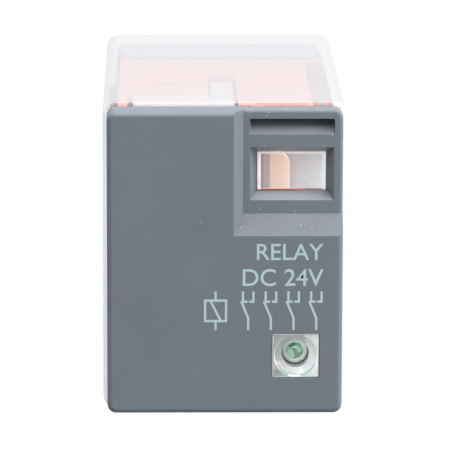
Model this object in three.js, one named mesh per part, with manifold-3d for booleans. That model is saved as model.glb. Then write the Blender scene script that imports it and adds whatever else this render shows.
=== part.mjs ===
// Plug-in control relay, 21 x 27 mm face, 40 mm body, 6 mm flat pins.
// Millimetres, +Z up. The origin is the centre of the rear seating face; the
// pins point along +Y into the socket and the front face looks along -Y.
import * as THREE from "three";
import { mergeVertices } from "three/addons/utils/BufferGeometryUtils.js";
import Module from "manifold-3d";

const wasm = await Module();
wasm.setup();

// ---------------------------------------------------------------- dimensions
const W = 21.0; // cover width, X
const H = 27.0; // cover height, Z
const Y_FRONT = -40.0; // front plane of the grey cap
const Y_COVER = -37.0; // front plane of the clear cover
const Y_RIM = -0.3; // rear rim of the clear cover, around the base
const COVER_R = 1.1; // corner radius of the cover
const WALL = 0.9; // cover wall
const CAP_W = 20.22,
  CAP_H = 26.4,
  CAP_R = 0.75,
  CAP_EDGE = 0.45;
const Y_RECESS = -38.7; // plane of the recessed corner of the cap
const RECESS_X0 = 0.73,
  RECESS_X1 = 1.56; // left wall of the recess, front edge and foot
const RECESS_Z0 = 2.45,
  RECESS_Z1 = 4.16; // ramp below the recess, front edge and top
const WIN_X = 5.75,
  WIN_Z = 7.63,
  WIN_W = 5.85,
  WIN_H = 3.25; // indicator window
const FUNNEL = 0.62; // how far each side of the window funnel spreads
const SLOT = { x0: 2.12, x1: 9.4, z0: 11.03, z1: 12.42 }; // pocket above the window
const LED_X = 6.1,
  LED_Z = -8.1,
  LED_HOLE_W = 4.14,
  LED_HOLE_H = 3.95;
const PEGS = [
  [-8.0, 10.9],
  [-8.0, -10.9],
  [1.7, -11.0],
  [8.2, -3.0],
]; // cap pegs, through the front wall of the cover
const POLES = [-6.6, -2.2, 2.2, 6.6]; // the four columns of pins, X
const Z_NO = 8.9,
  Z_NC = 4.8,
  Z_COM = -1.5,
  Z_COIL = -7.85; // rows of pins
const PIN_W = 2.6,
  PIN_T = 0.5,
  PIN_L = 6.0;
const COIL_Z = -4.9; // axis of the coil, along Y
const HINGE_Y = -30.05,
  HINGE_Z = 2.2; // knife edge that the armature rocks on
const OPEN_DEG = 3.0; // armature lift when the coil is off
const BLADE_Z = 7.38; // middle of the moving springs when the coil is on
const CONTACT_R = 0.9;
const FLAG_X = 5.0,
  FLAG_Y = -30.3, // pivot of the indicator flag, along Z
  FLAG_ARM = 1.3, // from the pivot to the peg on the carrier
  FLAG_DEG = 17.4; // swing of the flag for the full armature stroke

// ------------------------------------------------------------------- solids
function toSolid(geometry) {
  const g = geometry.index ? geometry.toNonIndexed() : geometry.clone();
  for (const key of Object.keys(g.attributes))
    if (key !== "position") g.deleteAttribute(key);
  const m = mergeVertices(g, 1e-4);
  const vertProperties = new Float32Array(m.attributes.position.array);
  const triVerts = new Uint32Array(m.index.array);
  let solid = new wasm.Manifold(
    new wasm.Mesh({ numProp: 3, vertProperties, triVerts }),
  );
  if (solid.volume() < 0) {
    for (let i = 0; i < triVerts.length; i += 3)
      [triVerts[i + 1], triVerts[i + 2]] = [triVerts[i + 2], triVerts[i + 1]];
    solid = new wasm.Manifold(
      new wasm.Mesh({ numProp: 3, vertProperties, triVerts }),
    );
  }
  return solid;
}
function toGeometry(solid) {
  const m = solid.getMesh();
  const n = m.numProp;
  const v = new Float32Array(m.numVert * 3);
  for (let i = 0; i < m.numVert; i++)
    v.set(m.vertProperties.subarray(i * n, i * n + 3), i * 3);
  const g = new THREE.BufferGeometry()
    .setAttribute("position", new THREE.BufferAttribute(v, 3))
    .setIndex(new THREE.BufferAttribute(new Uint32Array(m.triVerts), 1));
  g.computeVertexNormals();
  return g;
}
const join = (...s) => s.reduce((a, b) => a.add(b));
const cut = (a, ...s) => s.reduce((x, b) => x.subtract(b), a);

function box(x0, x1, y0, y1, z0, z1) {
  const g = new THREE.BoxGeometry(x1 - x0, y1 - y0, z1 - z0);
  g.translate((x0 + x1) / 2, (y0 + y1) / 2, (z0 + z1) / 2);
  return toSolid(g);
}
function roundedRect(w, h, r, cx = 0, cy = 0) {
  const s = new THREE.Shape();
  const x = cx - w / 2,
    y = cy - h / 2;
  s.moveTo(x + r, y);
  s.lineTo(x + w - r, y);
  s.absarc(x + w - r, y + r, r, -Math.PI / 2, 0);
  s.lineTo(x + w, y + h - r);
  s.absarc(x + w - r, y + h - r, r, 0, Math.PI / 2);
  s.lineTo(x + r, y + h);
  s.absarc(x + r, y + h - r, r, Math.PI / 2, Math.PI);
  s.lineTo(x, y + r);
  s.absarc(x + r, y + r, r, Math.PI, Math.PI * 1.5);
  return s;
}
function polygon(points) {
  return new THREE.Shape(points.map(([a, b]) => new THREE.Vector2(a, b)));
}
function slotHole(x, y0, y1, r) {
  const p = new THREE.Path();
  p.absarc(x, y1 - r, r, 0, Math.PI, false);
  p.absarc(x, y0 + r, r, Math.PI, 2 * Math.PI, false);
  return p;
}
function roundHole(x, y, r) {
  const p = new THREE.Path();
  p.absarc(x, y, r, 0, 2 * Math.PI, false);
  return p;
}
// a shape drawn in X and Z, extruded along Y
function prismY(shape, y0, y1, curveSegments = 5) {
  const g = new THREE.ExtrudeGeometry(shape, {
    depth: y1 - y0,
    bevelEnabled: false,
    curveSegments,
  });
  g.rotateX(Math.PI / 2);
  g.translate(0, y1, 0);
  return toSolid(g);
}
// a shape drawn in Y and Z, extruded along X
function prismX(shape, x0, x1, curveSegments = 5) {
  const g = new THREE.ExtrudeGeometry(shape, {
    depth: x1 - x0,
    bevelEnabled: false,
    curveSegments,
  });
  g.applyMatrix4(
    new THREE.Matrix4().makeBasis(
      new THREE.Vector3(0, 1, 0),
      new THREE.Vector3(0, 0, 1),
      new THREE.Vector3(1, 0, 0),
    ),
  );
  g.translate(x0, 0, 0);
  return toSolid(g);
}
// a shape drawn in X and Y, extruded along Z
function prismZ(shape, z0, z1, curveSegments = 5) {
  const g = new THREE.ExtrudeGeometry(shape, {
    depth: z1 - z0,
    bevelEnabled: false,
    curveSegments,
  });
  g.translate(0, 0, z0);
  return toSolid(g);
}
// a block along Y whose front edges are rounded
function roundedBlockY(w, h, r, y0, y1, edge, steps = 3, cx = 0, cz = 0) {
  const g = new THREE.ExtrudeGeometry(roundedRect(w, h, r, cx, cz), {
    depth: y1 - y0 - edge + 1,
    bevelEnabled: true,
    bevelThickness: edge,
    bevelSize: edge,
    bevelOffset: -edge,
    bevelSegments: steps,
    curveSegments: 4,
  });
  g.rotateX(Math.PI / 2);
  g.translate(0, y1 + 1, 0);
  return cut(toSolid(g), box(-60, 60, y1, y1 + 20, -60, 60));
}
function cylinder(axis, r, a, b, from, to, segments = 16, r2 = r) {
  const g = new THREE.CylinderGeometry(r2, r, to - from, segments);
  if (axis === "y") g.translate(a, (from + to) / 2, b);
  if (axis === "z") {
    g.rotateX(Math.PI / 2);
    g.translate(a, b, (from + to) / 2);
  }
  if (axis === "x") {
    g.rotateZ(-Math.PI / 2);
    g.translate((from + to) / 2, a, b);
  }
  return toSolid(g);
}
// a profile of [radius, height] turned about the Y axis, or laid along Z
function turned(axis, profile, a, b, segments = 16) {
  const g = new THREE.LatheGeometry(
    profile.map(([r, h]) => new THREE.Vector2(r, h)),
    segments,
  );
  if (axis === "y") g.translate(a, 0, b);
  if (axis === "z") {
    g.rotateX(Math.PI / 2);
    g.translate(a, b, 0);
  }
  return toSolid(g);
}
function wire(points, r, steps, sides = 6) {
  const path = new THREE.CatmullRomCurve3(
    points.map((p) => new THREE.Vector3(...p)),
    false,
    "centripetal",
  );
  const section = [];
  for (let i = 0; i < sides; i++) {
    const t = (2 * Math.PI * i) / sides;
    section.push([r * Math.cos(t), r * Math.sin(t)]);
  }
  return toSolid(
    new THREE.ExtrudeGeometry(polygon(section), {
      steps,
      bevelEnabled: false,
      extrudePath: path,
    }),
  );
}

// ---------------------------------------------------------------- materials
const paint = (color, roughness, metalness = 0, opacity = 1) =>
  new THREE.MeshStandardMaterial({
    color,
    roughness,
    metalness,
    opacity,
    transparent: opacity < 1,
  });
const GREY = paint(0x6f7880, 0.55);
const CLEAR = paint(0xf4f6fa, 0.08, 0, 0.25);
const LENS = paint(0xf6f8fa, 0.05, 0, 0.3);
const WHITE = paint(0xe0e0de, 0.5);
const NYLON = paint(0xe6e3dc, 0.45);
const SALMON = paint(0xe8906a, 0.45);
const ORANGE = paint(0xf08a4e, 0.35);
const STEEL = paint(0xb4b6b8, 0.35, 1);
const COPPER = paint(0xb4633c, 0.35, 1);
const TAPE = paint(0xe9d27a, 0.4);
const TIN = paint(0xc9c8c2, 0.3, 1);
const BRONZE = paint(0xc79358, 0.3, 1);
const SILVER = paint(0xe2e3e4, 0.25, 1);
const SPRING = paint(0xa9abae, 0.3, 1);
const PCB = paint(0x2f6b46, 0.45);
const LED_GREEN = paint(0x63c08a, 0.15, 0, 0.7);
const CERAMIC = paint(0x2a2a2c, 0.5);
const GLASS_RED = paint(0xb5492a, 0.2);
const SLEEVE = paint(0x3b3f44, 0.5);

const root = new THREE.Group();
const group = (parent) => {
  const g = new THREE.Group();
  parent.add(g);
  return g;
};
const housing = group(root),
  magnet = group(root),
  contacts = group(root),
  indicator = group(root);
function piece(parent, name, solid, material, x = 0, y = 0, z = 0) {
  const mesh = new THREE.Mesh(
    solid.isBufferGeometry ? solid : toGeometry(solid),
    material,
  );
  mesh.name = name;
  mesh.position.set(x, y, z);
  parent.add(mesh);
  return mesh;
}

// ------------------------------------------------------------------ face cap
{
  const back = Y_COVER - 0.05;
  const full = roundedBlockY(CAP_W, CAP_H, CAP_R, Y_FRONT, back, CAP_EDGE);
  const low = roundedBlockY(CAP_W, CAP_H, CAP_R, Y_RECESS, back, 0.3, 2);
  const dx = (RECESS_X1 - RECESS_X0) / (Y_RECESS - Y_FRONT);
  const dz = (RECESS_Z1 - RECESS_Z0) / (Y_RECESS - Y_FRONT);
  const side = prismZ(
    polygon([
      [RECESS_X0 - dx, Y_FRONT - 1],
      [RECESS_X1, Y_RECESS],
      [14, Y_RECESS],
      [14, Y_FRONT - 1],
    ]),
    -2,
    16,
  );
  const ramp = prismX(
    polygon([
      [Y_FRONT - 1, RECESS_Z0 - dz],
      [Y_RECESS, RECESS_Z1],
      [Y_RECESS, 16],
      [Y_FRONT - 1, 16],
    ]),
    -2,
    14,
  );
  let cap = join(cut(full, side.intersect(ramp)), low);
  // funnel of the indicator window
  const funnel = new THREE.ExtrudeGeometry(
    polygon([
      [WIN_X - WIN_W / 2 - 0.06 - FUNNEL, WIN_Z - WIN_H / 2 - 0.06 - FUNNEL],
      [WIN_X + WIN_W / 2 + 0.06 + FUNNEL, WIN_Z - WIN_H / 2 - 0.06 - FUNNEL],
      [WIN_X + WIN_W / 2 + 0.06 + FUNNEL, WIN_Z + WIN_H / 2 + 0.06 + FUNNEL],
      [WIN_X - WIN_W / 2 - 0.06 - FUNNEL, WIN_Z + WIN_H / 2 + 0.06 + FUNNEL],
    ]),
    {
      depth: 2,
      bevelEnabled: true,
      bevelThickness: back - Y_RECESS,
      bevelSize: FUNNEL,
      bevelOffset: -FUNNEL,
      bevelSegments: 1,
    },
  );
  funnel.rotateX(Math.PI / 2);
  funnel.translate(0, Y_RECESS, 0);
  const throat = box(
    WIN_X - WIN_W / 2 - 0.06,
    WIN_X + WIN_W / 2 + 0.06,
    Y_RECESS,
    back + 1,
    WIN_Z - WIN_H / 2 - 0.06,
    WIN_Z + WIN_H / 2 + 0.06,
  );
  const pocket = prismX(
    polygon([
      [Y_RECESS - 1, SLOT.z1],
      [back - 0.3, SLOT.z1],
      [Y_RECESS, SLOT.z0],
      [Y_RECESS - 1, SLOT.z0],
    ]),
    SLOT.x0,
    SLOT.x1,
  );
  const ledHole = box(
    LED_X - LED_HOLE_W / 2,
    LED_X + LED_HOLE_W / 2,
    -42,
    -30,
    LED_Z - LED_HOLE_H / 2,
    LED_Z + LED_HOLE_H / 2,
  );
  // the cap is a shell: hollow behind the full-height face, solid behind the recess
  const y0 = Y_FRONT + 1.15;
  cap = cut(
    cap,
    toSolid(funnel),
    throat,
    pocket,
    ledHole,
    box(-9.2, 0.1, y0, -30, -12.2, 12.2),
    box(0.1, 3.3, y0, -30, -12.2, 1.0),
    box(3.3, 9.2, y0, -30, -5.4, 1.0),
    box(3.3, 9.2, y0, -30, -12.2, -11.2),
  );
  for (const [x, z] of PEGS)
    cap = join(cap, cylinder("y", 0.7, x, z, y0 - 0.1, -35.95, 12));
  piece(housing, "face_cap", cap, GREY);
}

// --------------------------------------------------------------- clear cover
{
  let cover = cut(
    roundedBlockY(W, H, COVER_R, Y_COVER, Y_RIM, 0.5),
    prismY(
      roundedRect(W - 2 * WALL, H - 2 * WALL, 0.6),
      Y_COVER + WALL,
      10,
      3,
    ),
  );
  cover = join(
    cover,
    roundedBlockY(
      WIN_W,
      WIN_H,
      0.25,
      Y_COVER - 0.35,
      Y_COVER + 0.3,
      0.12,
      1,
      WIN_X,
      WIN_Z,
    ),
  );
  cover = cut(
    cover,
    box(
      LED_X - LED_HOLE_W / 2,
      LED_X + LED_HOLE_W / 2,
      -42,
      -30,
      LED_Z - LED_HOLE_H / 2,
      LED_Z + LED_HOLE_H / 2,
    ),
  );
  for (const [x, z] of PEGS)
    cover = cut(cover, cylinder("y", 0.76, x, z, -40, -30, 12));
  for (const z of [-7, 7])
    cover = cut(cover, box(-12, 12, -3.7, -1.7, z - 2, z + 2));
  piece(housing, "clear_cover", cover, CLEAR);
}

// ------------------------------------------------------------------ LED lens
{
  let lens = join(
    prismY(roundedRect(3.98, 3.79, 0.15, LED_X, LED_Z), -39.8, -35.45, 2),
    box(
      LED_X - 2.5,
      LED_X + 2.5,
      Y_COVER + WALL + 0.05,
      -35.45,
      LED_Z - 2.5,
      LED_Z + 2.5,
    ),
  );
  lens = cut(
    lens,
    cylinder("y", 1.22, LED_X, LED_Z, -45, -30, 20),
    cylinder("y", 1.98, LED_X, LED_Z, -40.0, -39.25, 24, 1.3),
  );
  piece(housing, "led_lens", lens, LENS);
}

// ----------------------------------------------------------------- pin base
const pins = []; // [name, x, z] of every pin slot
POLES.forEach((x, i) => {
  pins.push(["no", x, Z_NO], ["nc", x, Z_NC], ["com", x, Z_COM]);
});
pins.push(["coil", POLES[0], Z_COIL], ["coil", POLES[3], Z_COIL]);
{
  let base = join(
    prismY(roundedRect(W - 2 * WALL - 0.2, H - 2 * WALL - 0.2, 0.5), -5.0, 0, 4),
    box(-8.9, 8.9, -7.3, -4.9, 11.7, 12.5),
    box(-8.9, 8.9, -7.3, -4.9, -12.5, -12.05),
  );
  for (const s of [-1, 1]) {
    // snap wedges in the windows of the cover
    for (const z of [-7, 7]) {
      const wedge = prismZ(
        polygon([
          [s * 9.3, -3.6],
          [s * 9.6, -3.6],
          [s * 10.2, -2.2],
          [s * 10.2, -1.85],
          [s * 9.3, -1.85],
        ]),
        z - 1.8,
        z + 1.8,
      );
      base = join(base, wedge);
    }
    // posts that grip the ears of the yoke
    const x0 = s > 0 ? 8.1 : -9.4,
      x1 = s > 0 ? 9.4 : -8.1;
    base = join(base, box(x0, x1, -9.8, -4.7, -2.9, 3.0));
    base = cut(
      base,
      box(s > 0 ? 8.0 : -8.65, s > 0 ? 8.65 : -8.0, -8.3, -6.9, -3.0, 3.1),
    );
  }
  for (const [, x, z] of pins)
    base = cut(
      base,
      box(
        x - PIN_W / 2 - 0.05,
        x + PIN_W / 2 + 0.05,
        -5,
        1,
        z - PIN_T / 2 - 0.05,
        z + PIN_T / 2 + 0.05,
      ),
    );
  piece(housing, "pin_base", base, WHITE);
}

// -------------------------------------------------------------- contact cage
{
  // roof: short on the left, down to the front on the right
  let cage = join(
    box(-9.2, 9.2, -9.4, -7.4, 11.4, 12.3),
    box(-8.5, 7.8, -24.0, -9.3, 11.4, 12.3),
    box(1.0, 7.8, -31.6, -21.7, 11.4, 12.3),
    // left bar and front rail
    box(-9.2, -8.4, -34.8, -9.3, 11.4, 12.3),
    box(-9.2, 8.2, -34.8, -33.9, 11.4, 12.3),
    box(7.0, 7.8, -34.0, -31.5, 11.4, 12.3),
  );
  for (const x of [-4.4, 0, 4.4])
    cage = join(cage, box(x - 0.45, x + 0.45, -14.6, -5.1, 3.2, 11.5));
  cage = join(
    cage,
    box(8.3, 9.2, -8.6, -5.1, 3.2, 11.5),
    box(-9.2, -8.3, -8.6, -5.1, 3.2, 11.5),
    // raised panels on the roof
    box(-8.2, -3.9, -21.4, -12.3, 12.2, 12.45),
    box(2.9, 7.5, -31.2, -10.7, 12.2, 12.45),
    // apron and shelf that guide the flag in the window
    box(2.35, 3.4, -34.6, -33.4, 4.7, 12.3),
    box(2.35, 3.4, -34.6, -31.4, 10.6, 12.3),
    box(2.35, 7.2, -35.8, -33.4, 4.7, 5.4),
    cylinder("z", 0.55, FLAG_X, FLAG_Y, 9.45, 11.5, 16),
  );
  cage = cut(
    cage,
    box(-1.25, 1.3, -40, -15.6, 11, 13), // slot for the carrier's fin
    // bevelled lips of the slot and of the left plate
    prismX(
      polygon([
        [-15.7, 11.7],
        [-14.9, 12.5],
        [-15.7, 12.5],
      ]),
      -1.25,
      1.3,
    ),
    prismX(
      polygon([
        [-24.1, 11.6],
        [-23.2, 12.5],
        [-24.1, 12.5],
      ]),
      -8.35,
      0,
    ),
    box(0.08, 0.22, -16.5, -7, 12.1, 13), // seam between the two halves
  );
  piece(housing, "contact_cage", cage, SALMON);
}

// -------------------------------------------------------------------- magnet
{
  let yoke = join(
    box(-6.5, 6.5, -30.0, -7.0, 1.6, 2.8),
    box(-6.5, 6.5, -8.2, -7.0, -2.4, 2.8),
    box(-8.55, 8.55, -8.2, -7.0, -2.4, 1.6),
    box(-5.0, 5.0, -8.2, -7.0, -8.4, 2.8),
    box(5.95, 6.5, -31.5, -29.9, 1.6, 2.8),
    box(-6.5, -5.95, -31.5, -29.9, 1.6, 2.8),
    box(-1.0, 1.0, -18.9, -18.3, 2.7, 5.2),
  );
  yoke = cut(
    yoke,
    cylinder("y", 1.55, 0, COIL_Z, -9, -6, 16),
    cylinder("y", 0.42, 0, 4.3, -20, -17, 10),
  );
  piece(magnet, "yoke", yoke, STEEL);
  piece(
    magnet,
    "core",
    turned(
      "y",
      [
        [0, -30.0],
        [3.7, -30.0],
        [3.9, -29.8],
        [3.9, -29.1],
        [2.5, -29.1],
        [2.5, -8.25],
        [1.45, -8.25],
        [1.45, -6.95],
        [2.0, -6.95],
        [1.7, -6.65],
        [0, -6.65],
      ],
      0,
      COIL_Z,
      20,
    ),
    STEEL,
  );
  let bobbin = join(
    prismY(roundedRect(14.6, 12.2, 1.2, 0, COIL_Z), -29.05, -28.05, 3),
    prismY(roundedRect(14.6, 12.2, 1.2, 0, COIL_Z), -9.4, -8.3, 3),
    cylinder("y", 3.15, 0, COIL_Z, -28.2, -9.2, 20),
  );
  bobbin = cut(
    bobbin,
    cylinder("y", 2.62, 0, COIL_Z, -40, 0, 20),
    box(5.5, 6.3, -9.6, -8, -11.2, -9.7),
    box(-6.3, -5.5, -9.6, -8, -11.2, -9.7),
  );
  piece(magnet, "coil_bobbin", bobbin, SALMON);
  piece(
    magnet,
    "coil_winding",
    turned(
      "y",
      [
        [3.2, -27.95],
        [5.35, -27.95],
        [5.55, -27.6],
        [5.55, -9.85],
        [5.35, -9.5],
        [3.2, -9.5],
        [3.2, -27.95],
      ],
      0,
      COIL_Z,
      24,
    ),
    COPPER,
  );
  piece(
    magnet,
    "coil_tape",
    turned(
      "y",
      [
        [5.6, -27.0],
        [5.75, -27.0],
        [5.75, -10.4],
        [5.6, -10.4],
        [5.6, -27.0],
      ],
      0,
      COIL_Z,
      24,
    ),
    TAPE,
  );
  for (const [name, s] of [
    ["coil_lead_left", -1],
    ["coil_lead_right", 1],
  ])
    piece(
      magnet,
      name,
      wire(
        [
          [s * 4.3, -9.8, -9.1],
          [s * 5.4, -9.75, -10.0],
          [s * 5.9, -9.3, -10.25],
          [s * 5.9, -8.3, -10.25],
          [s * 6.25, -7.7, -9.6],
          [s * 6.6, -7.5, -8.3],
        ],
        0.14,
        12,
        5,
      ),
      COPPER,
    );
}

// --------------------------------------------------------------- terminals
const tipShape = (inner, lug = 0) => [
  [-PIN_W / 2, -inner + 0.4],
  [-PIN_W / 2 + 0.4, -inner],
  [PIN_W / 2 - 0.4 + lug, -inner],
  ...(lug
    ? [
        [PIN_W / 2 + lug, -inner + 0.4],
        [PIN_W / 2 + lug, -inner + 1.6],
        [PIN_W / 2, -inner + 1.6],
      ]
    : [[PIN_W / 2, -inner + 0.4]]),
  [PIN_W / 2, PIN_L - 1.4],
  [PIN_W / 2 - 0.7, PIN_L],
  [-PIN_W / 2 + 0.7, PIN_L],
  [-PIN_W / 2, PIN_L - 1.4],
];
const FIXED_Y = -9.98; // fixed contacts
{
  // flat fixed-contact terminal, made about X 0 and Z 0
  const flat = polygon(tipShape(12.2));
  flat.holes.push(slotHole(0, 2.5, 4.5, 0.5), roundHole(0, FIXED_Y, 0.52));
  const fixed = toGeometry(prismZ(flat, -PIN_T / 2, PIN_T / 2, 4));
  // rivet with its contact face at +Z; the neck passes through the terminal
  const rivet = (head) =>
    toGeometry(
      turned(
        "z",
        [
          [0, PIN_T / 2 + head],
          [CONTACT_R - 0.15, PIN_T / 2 + head],
          [CONTACT_R, PIN_T / 2 + head - 0.15],
          [CONTACT_R, PIN_T / 2 + 0.01],
          [0.44, PIN_T / 2 + 0.01],
          [0.44, -PIN_T / 2 - 0.01],
          [0.72, -PIN_T / 2 - 0.01],
          [0.55, -PIN_T / 2 - 0.2],
          [0, -PIN_T / 2 - 0.2],
        ].map(([r, h]) => [r, -h]),
        0,
        0,
        10,
      ),
    );
  const ncRivet = rivet(0.64),
    noRivet = rivet(0.68);
  // common terminal: pin, riser behind the yoke and a tab over it
  const profile = polygon([
    [PIN_L, -0.25],
    [-6.1, -0.25],
    [-6.1, 3.4 - Z_COM],
    [-14.3, 3.4 - Z_COM],
    [-14.3, 3.9 - Z_COM],
    [-5.6, 3.9 - Z_COM],
    [-5.6, 0.25],
    [PIN_L, 0.25],
  ]);
  const comOutline = polygon([
    [-1.0, -14.3],
    [1.0, -14.3],
    [1.0, -8.0],
    [PIN_W / 2, -7.2],
    [PIN_W / 2, PIN_L - 1.4],
    [PIN_W / 2 - 0.7, PIN_L],
    [-PIN_W / 2 + 0.7, PIN_L],
    [-PIN_W / 2, PIN_L - 1.4],
    [-PIN_W / 2, -7.2],
    [-1.0, -8.0],
  ]);
  comOutline.holes.push(slotHole(0, 2.5, 4.5, 0.5));
  const com = toGeometry(
    prismX(profile, -2, 2).intersect(prismZ(comOutline, -1, 8, 4)),
  );
  const pigtail = toGeometry(
    wire(
      [
        [0, -12.7, 4.33],
        [0, -14.0, 4.33],
        [0, -15.8, 4.2],
        [0, -18.2, 4.45],
        [0, -20.3, 5.5],
        [0, -21.9, 6.3],
        [0, -23.4, 6.42],
      ],
      0.38,
      14,
      8,
    ),
  );
  POLES.forEach((x, i) => {
    const n = i + 1;
    piece(contacts, `terminal_no_${n}`, fixed, TIN, x, 0, Z_NO);
    piece(contacts, `terminal_nc_${n}`, fixed, TIN, x, 0, Z_NC);
    piece(contacts, `terminal_common_${n}`, com, TIN, x, 0, Z_COM);
    const nc = piece(contacts, `contact_nc_${n}`, ncRivet, SILVER, x, FIXED_Y, Z_NC);
    nc.rotation.x = 0;
    const no = piece(contacts, `contact_no_${n}`, noRivet, SILVER, x, FIXED_Y, Z_NO);
    no.rotation.x = Math.PI; // faces down, towards the moving contact
    piece(contacts, `braid_${n}`, pigtail, COPPER, x, 0, 0);
  });
  // coil terminals; the right one carries a lug that is soldered to the LED board
  for (const [name, x, lug] of [
    ["terminal_coil_1", POLES[0], 0],
    ["terminal_coil_2", POLES[3], 0.25],
  ]) {
    const s = polygon(tipShape(7.7, lug));
    s.holes.push(slotHole(0, 2.5, 4.5, 0.5));
    piece(
      contacts,
      name,
      prismZ(s, -PIN_T / 2, PIN_T / 2, 4),
      TIN,
      x,
      0,
      Z_COIL,
    );
  }
}

// ------------------------------------------------- armature and moving contacts
// Made with the armature flat against the pole, then rocked open about the knife edge.
const swing = group(root);
swing.position.set(0, HINGE_Y, HINGE_Z);
swing.rotation.x = (-OPEN_DEG * Math.PI) / 180;
const moving = group(swing);
moving.position.set(0, -HINGE_Y, -HINGE_Z);
{
  const plate = polygon([
    [-5.9, -10.6],
    [5.9, -10.6],
    [6.5, -10.0],
    [6.5, 1.35],
    [5.8, 1.35],
    [5.8, 3.05],
    [6.5, 3.05],
    [6.5, 3.9],
    [5.5, 4.6],
    [5.5, 8.1],
    [-5.5, 8.1],
    [-5.5, 4.6],
    [-6.5, 3.9],
    [-6.5, 3.05],
    [-5.8, 3.05],
    [-5.8, 1.35],
    [-6.5, 1.35],
    [-6.5, -10.0],
  ]);
  plate.holes.push(roundHole(0, 4.3, 0.5));
  piece(
    moving,
    "armature_plate",
    prismY(plate, HINGE_Y - 1.2, HINGE_Y, 3),
    STEEL,
  );
  let carrier = box(-8.5, 8.5, -32.0, -25.2, 5.9, 9.2);
  carrier = cut(
    carrier,
    box(-5.6, 5.6, -31.35, -29.95, 5, 8.2),
    box(-0.5, 0.5, -28.4, -25, 5, 10),
    box(-4.9, -3.9, -28.4, -25, 5, 10),
    box(3.9, 4.9, -28.4, -25, 5, 10),
  );
  for (const x of POLES)
    carrier = cut(
      carrier,
      box(x - 1.25, x + 1.25, -29.5, -25, BLADE_Z - 0.15, BLADE_Z + 0.15),
    );
  carrier = join(
    carrier,
    cylinder("z", 0.35, FLAG_X - FLAG_ARM, FLAG_Y - 0.2, 9.1, 10.05, 12),
    // deck under the open left side of the cage
    box(-7.9, -0.9, -32.8, -24.9, 11.45, 12.15),
    box(-7.9, -0.9, -31.9, -31.0, 9.1, 11.5),
    // skirt behind the flag
    box(2.0, 8.5, -32.0, -31.4, 4.4, 6.2),
    // fin that shows in the roof slot
    prismX(
      polygon([
        [-33.0, 10.4],
        [-31.6, 9.0],
        [-25.4, 9.0],
        [-23.8, 10.6],
        [-16.6, 11.4],
        [-16.6, 12.4],
        [-33.0, 12.2],
      ]),
      -1.0,
      1.0,
    ),
  );
  piece(moving, "contact_carrier", carrier, NYLON);
  const strip = polygon([
    [-1.2, -29.4],
    [1.2, -29.4],
    [1.2, -21.0],
    [1.0, -20.0],
    [1.0, -12.0],
    [1.15, -11.2],
    [1.15, -9.6],
    [0.6, -9.0],
    [-0.6, -9.0],
    [-1.15, -9.6],
    [-1.15, -11.2],
    [-1.0, -12.0],
    [-1.0, -20.0],
    [-1.2, -21.0],
  ]);
  strip.holes.push(roundHole(0, -10.1, 0.52));
  const blade = toGeometry(prismZ(strip, BLADE_Z - 0.1, BLADE_Z + 0.1, 4));
  const button = toGeometry(
    turned(
      "z",
      [
        [0, 0.55],
        [CONTACT_R - 0.15, 0.55],
        [CONTACT_R, 0.42],
        [CONTACT_R, 0.11],
        [0.44, 0.11],
        [0.44, -0.11],
        [CONTACT_R, -0.11],
        [CONTACT_R, -0.42],
        [CONTACT_R - 0.15, -0.55],
        [0, -0.55],
      ],
      0,
      0,
      10,
    ),
  );
  POLES.forEach((x, i) => {
    piece(moving, `moving_spring_${i + 1}`, blade, BRONZE, x, 0, 0);
    piece(moving, `moving_contact_${i + 1}`, button, SILVER, x, -10.1, BLADE_Z);
  });
}

// ------------------------------------------------------------- return spring
{
  const points = [
    [0, -32.0, 3.7],
    [0, -31.8, 4.15],
    [0, -31.3, 4.3],
    [0, -29.8, 4.3],
  ];
  const turns = 9,
    r = 0.78,
    a = -29.4,
    b = -19.4;
  for (let i = 0; i <= turns * 10; i++) {
    const t = (2 * Math.PI * i) / 10;
    points.push([
      r * Math.sin(t),
      a + ((b - a) * i) / (turns * 10),
      4.3 + r * Math.cos(t) * Math.min(1, i / 3, (turns * 10 - i) / 3),
    ]);
  }
  points.push([0, -19.1, 4.3], [0, -18.0, 4.3], [0, -17.6, 4.15], [0, -17.4, 3.7]);
  piece(magnet, "return_spring", wire(points, 0.13, 118, 5), SPRING);
}

// ------------------------------------------------------------ indicator flag
// Drawn about its pivot in the middle of its swing, then turned back to rest.
{
  const pivot = group(indicator);
  pivot.position.set(FLAG_X, FLAG_Y, 0);
  pivot.rotation.z = (-FLAG_DEG * Math.PI) / 360;
  const reach = 5.3;
  const finger = prismY(
    polygon([
      [-0.27, 5.65],
      [1.37, 5.65],
      [1.37, 7.85],
      [1.31, 8.22],
      [1.14, 8.53],
      [0.87, 8.75],
      [0.5, 8.85],
      [0.5, 10.15],
      [-0.27, 10.15],
    ]),
    -7,
    -4.6,
  ).intersect(cylinder("z", reach, 0, 0, 5, 11, 96));
  let flag = join(
    cylinder("z", 1.15, 0, 0, 9.5, 10.15, 20),
    prismZ(
      polygon([
        [-0.5, -0.6],
        [0.6, -0.6],
        [0.75, -4.8],
        [-0.27, -4.8],
      ]),
      9.5,
      10.15,
    ),
    box(-FLAG_ARM - 0.62, -0.3, -0.8, 0.8, 9.5, 10.15),
    finger,
  );
  flag = cut(
    flag,
    cylinder("z", 0.62, 0, 0, 8, 12, 16),
    box(-FLAG_ARM - 1, -FLAG_ARM + 0.43, -0.43, 0.43, 9, 11),
  );
  piece(pivot, "indicator_flag", flag, ORANGE);
}

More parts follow.
